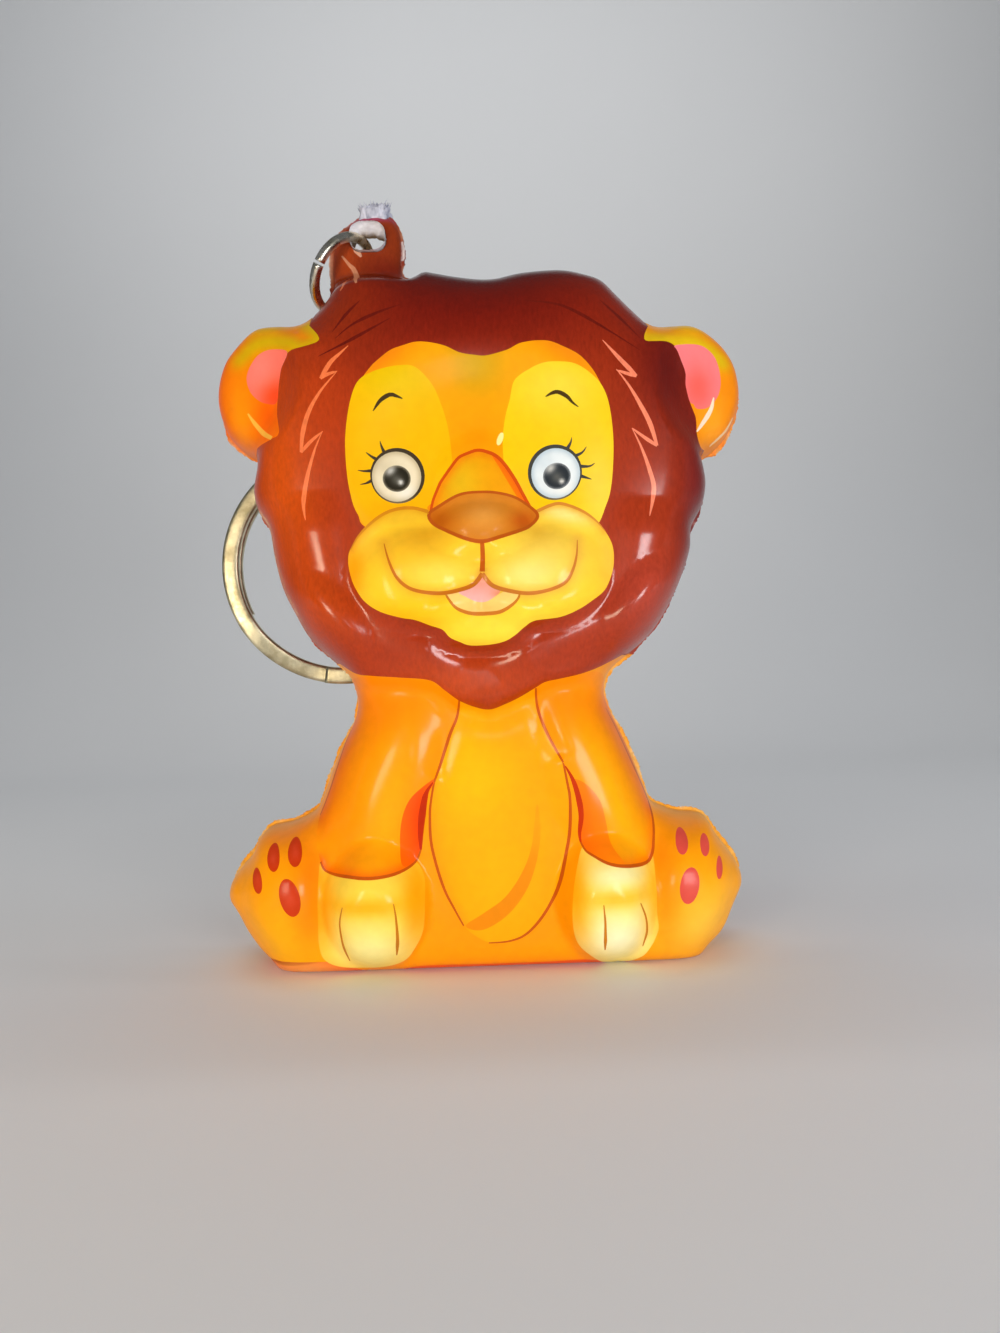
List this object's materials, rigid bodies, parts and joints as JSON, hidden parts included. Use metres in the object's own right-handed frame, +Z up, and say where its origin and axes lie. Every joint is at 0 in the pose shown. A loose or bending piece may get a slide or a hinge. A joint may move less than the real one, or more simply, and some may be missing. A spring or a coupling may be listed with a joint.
{
  "type": "squishy keychain",
  "caption": "Sitting lion of soft foam between two printed films, with a tab, a jump ring, a short chain and a split key ring.",
  "frame": {"origin": "on the flat base, in line with the middle of the face", "axes": "+Z up through the head, -Y the way the face looks, +X to the right as the face is seen"},
  "size_m": [0.0629, 0.0287, 0.0867],
  "materials": {
    "front_film": "gloss",
    "back_film": "gloss",
    "foam": "matte",
    "wire": "polished",
    "ring_wire": "satin"
  },
  "bodies": {
    "lion": {"back_skin": "back_film", "foam_core": "foam"},
    "face": {"front_skin": "front_film"},
    "hang_ring": {"hang_ring": "wire"},
    "link_1": {"chain_link_1": "wire"},
    "link_2": {"chain_link_2": "wire"},
    "link_3": {"chain_link_3": "wire"},
    "link_4": {"chain_link_4": "wire"},
    "link_5": {"chain_link_5": "wire"},
    "key_ring": {"split_ring": "ring_wire"}
  },
  "joints": [
    {"name": "squeeze", "type": "slide", "parent": "lion", "child": "face", "axis": [0, 1, 0], "range_m": [0, 0.006], "stiffness_N_per_m": 800, "deforming": ["foam_core", "front_skin"]},
    {"name": "ring_swing", "type": "hinge", "parent": "lion", "child": "hang_ring", "pos_m": [-0.0114, 0.001, 0.082], "axis": [0, 1, 0], "range_deg": [0, 120]},
    {"name": "link_1_swing", "type": "hinge", "parent": "hang_ring", "child": "link_1", "pos_m": [-0.01353, 0.00497, 0.07714], "axis": [0.6438, 0.0959, 0.7591], "range_deg": [0, 30]},
    {"name": "link_2_swing", "type": "hinge", "parent": "link_1", "child": "link_2", "pos_m": [-0.01308, 0.00729, 0.07652], "axis": [0.7383, 0.0392, 0.6734], "range_deg": [0, 15]},
    {"name": "link_3_swing", "type": "hinge", "parent": "link_2", "child": "link_3", "pos_m": [-0.01203, 0.00965, 0.07075], "axis": [0.9604, 0.2375, -0.1459], "range_deg": [0, 20]},
    {"name": "link_4_swing", "type": "hinge", "parent": "link_3", "child": "link_4", "pos_m": [-0.01254, 0.01022, 0.06848], "axis": [0.9755, 0.1069, -0.1925], "range_deg": [0, 15]},
    {"name": "link_5_swing", "type": "hinge", "parent": "link_4", "child": "link_5", "pos_m": [-0.01393, 0.01163, 0.06177], "axis": [0.98, -0.035, -0.196], "range_deg": [0, 20]},
    {"name": "key_ring_swing", "type": "hinge", "parent": "link_5", "child": "key_ring", "pos_m": [-0.01441, 0.0118, 0.05958], "axis": [0.9748, 0, -0.2231], "range_deg": [0, 45]}
  ]
}
